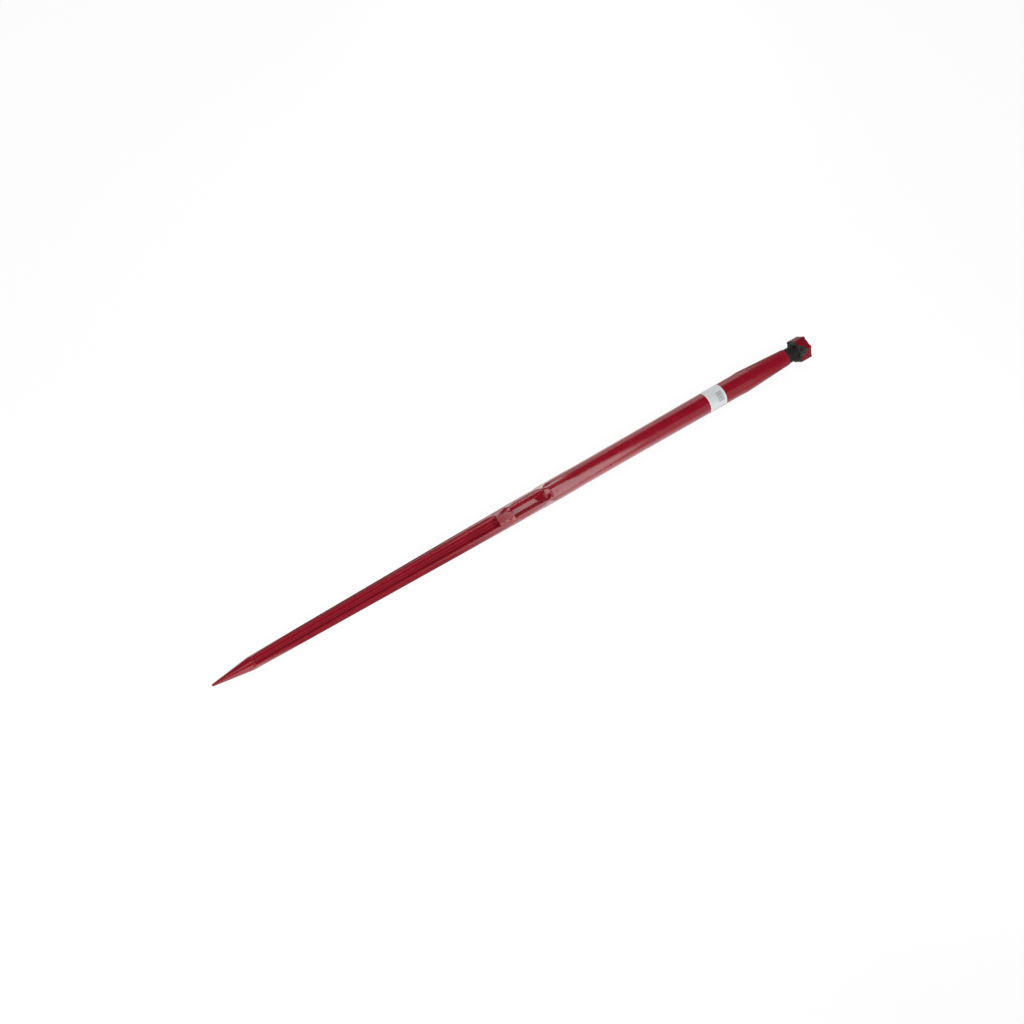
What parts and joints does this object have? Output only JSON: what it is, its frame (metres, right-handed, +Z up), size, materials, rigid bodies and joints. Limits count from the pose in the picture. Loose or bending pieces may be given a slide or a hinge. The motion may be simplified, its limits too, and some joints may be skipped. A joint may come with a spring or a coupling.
{
  "type": "bale spear",
  "caption": "Forged bale spear with a conical point, two opposed flutes, a tapered seat and a threaded stud with a hexagon nut.",
  "frame": {"origin": "on the spear's axis at the big end of the tapered seat", "axes": "+X along the spear from its point to its nut, +Z up, with the label turned up and towards -Y"},
  "size_m": [1.4, 0.0472, 0.043],
  "materials": {
    "painted_steel": "gloss dark red paint on forged steel",
    "nut_steel": "blackened steel, partly oversprayed with the dark red paint",
    "label_paper": "satin coated paper"
  },
  "bodies": {
    "root": {"spear_forging": "painted_steel", "hex_nut": "nut_steel", "label": "label_paper"}
  },
  "joints": []
}
